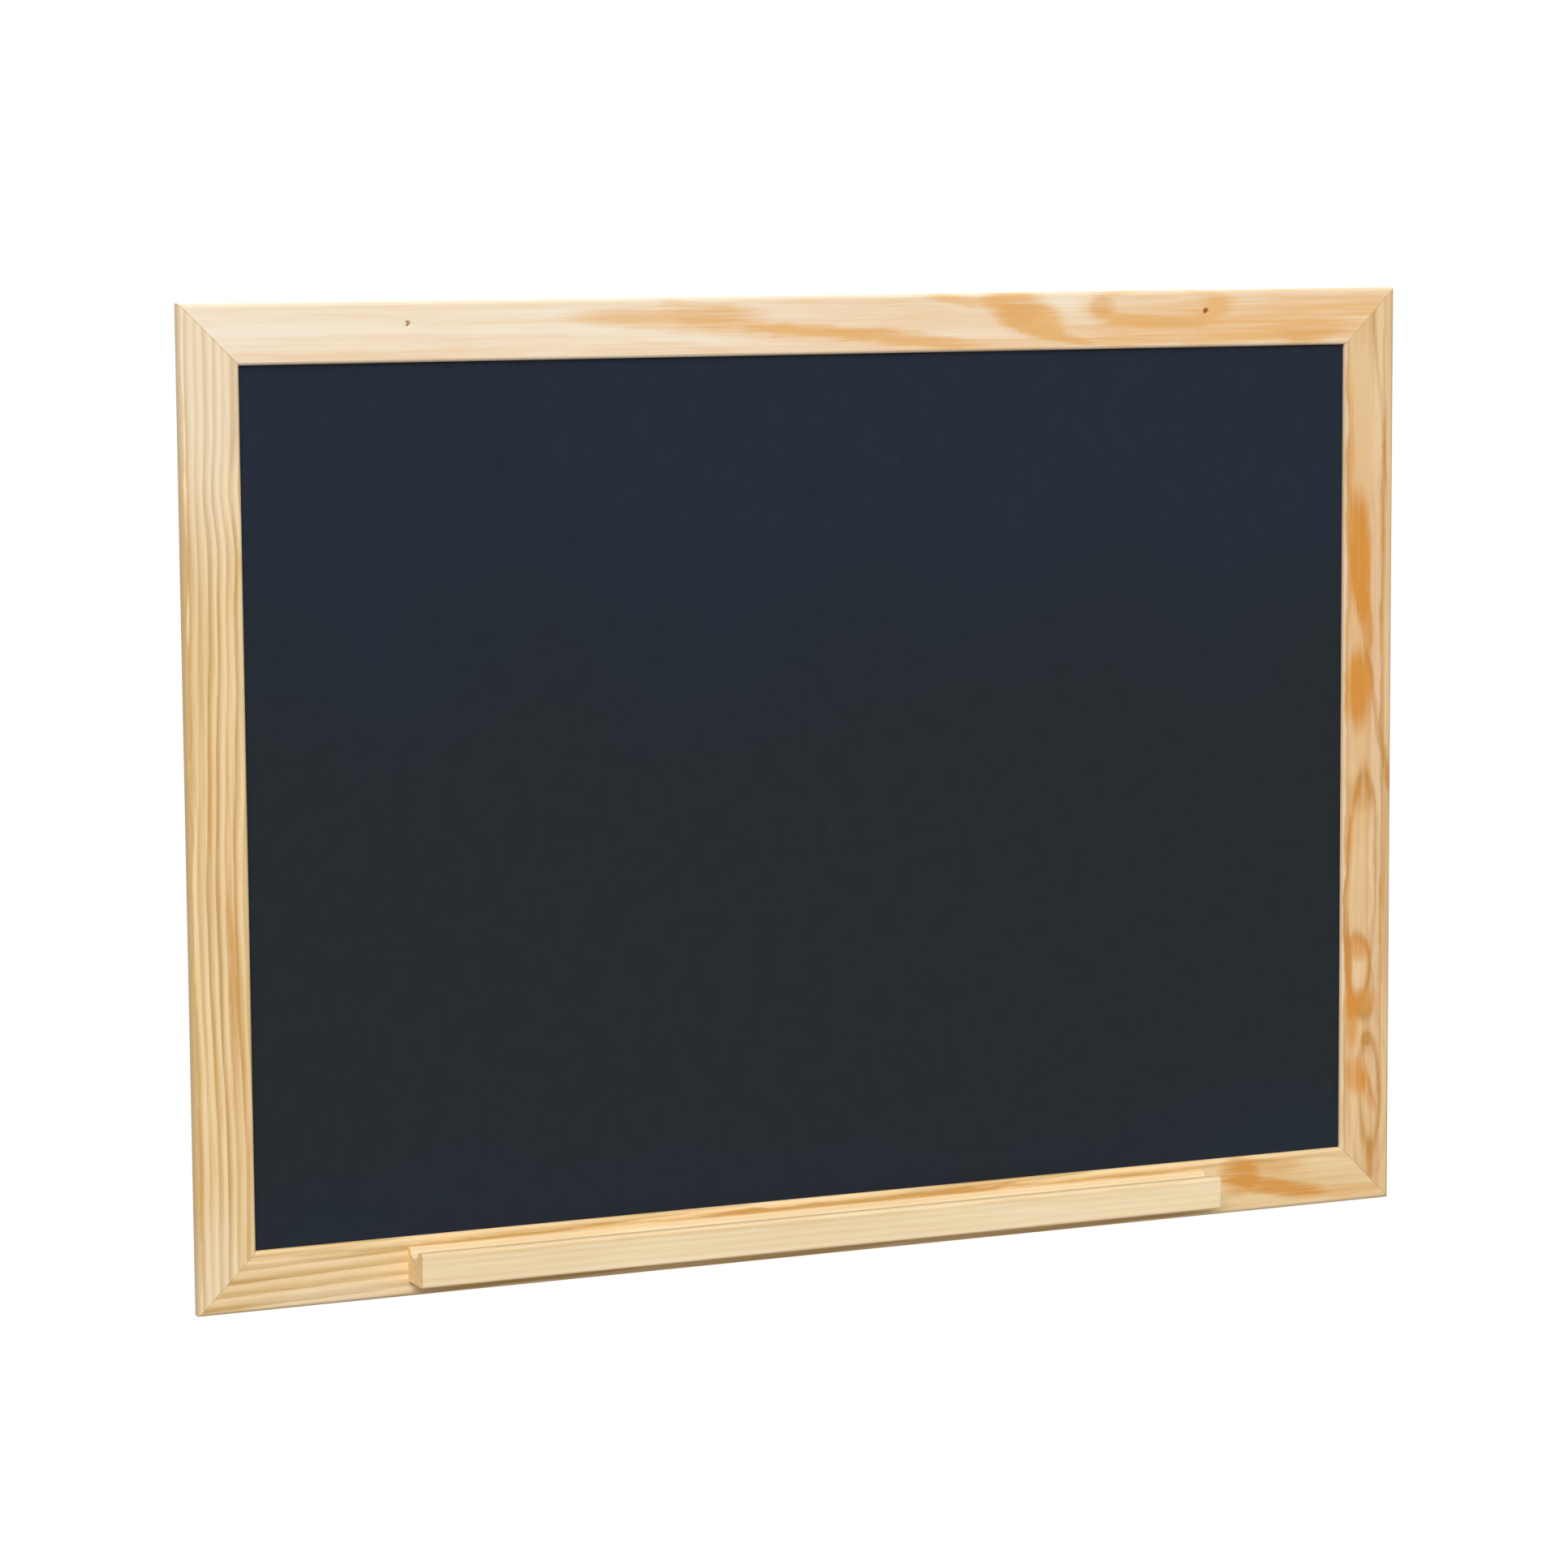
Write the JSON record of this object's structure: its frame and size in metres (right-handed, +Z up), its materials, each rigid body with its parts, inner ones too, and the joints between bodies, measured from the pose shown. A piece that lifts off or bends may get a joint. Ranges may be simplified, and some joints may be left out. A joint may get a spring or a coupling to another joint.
{
  "type": "chalkboard",
  "caption": "Wall chalkboard: a dark coated writing panel in a mitred pine frame, with a grooved ledge for chalk on the bottom rail.",
  "frame": {"origin": "on the back face of the top rail, on the board's upright centre line, level with the two wall screw holes", "axes": "+X to the right of someone facing the board, +Y into the wall, +Z up; the writing face looks along -Y"},
  "size_m": [0.9, 0.037, 0.658],
  "materials": {
    "writing_panel": "matt dark slate writing coat on hardboard, bare brown hardboard behind",
    "pine_frame": "planed pine under a thin clear satin varnish",
    "pine_ledge": "pale planed pine under a thin clear satin varnish",
    "zinc_steel": "bright zinc plated steel fasteners"
  },
  "bodies": {
    "root": {"writing_panel": "writing_panel", "top_rail": "pine_frame", "bottom_rail": "pine_frame", "left_stile": "pine_frame", "right_stile": "pine_frame", "chalk_ledge": "pine_ledge", "ledge_screw_1": "zinc_steel", "ledge_screw_2": "zinc_steel", "ledge_screw_3": "zinc_steel", "panel_point_top_1": "zinc_steel", "panel_point_top_2": "zinc_steel", "panel_point_top_3": "zinc_steel", "panel_point_top_4": "zinc_steel", "panel_point_bottom_1": "zinc_steel", "panel_point_bottom_2": "zinc_steel", "panel_point_bottom_3": "zinc_steel", "panel_point_bottom_4": "zinc_steel", "panel_point_left_1": "zinc_steel", "panel_point_left_2": "zinc_steel", "panel_point_left_3": "zinc_steel", "panel_point_right_1": "zinc_steel", "panel_point_right_2": "zinc_steel", "panel_point_right_3": "zinc_steel", "v_nail_top_left_inner": "zinc_steel", "v_nail_top_left_outer": "zinc_steel", "v_nail_top_right_inner": "zinc_steel", "v_nail_top_right_outer": "zinc_steel", "v_nail_bottom_left_inner": "zinc_steel", "v_nail_bottom_left_outer": "zinc_steel", "v_nail_bottom_right_inner": "zinc_steel", "v_nail_bottom_right_outer": "zinc_steel"}
  },
  "joints": []
}
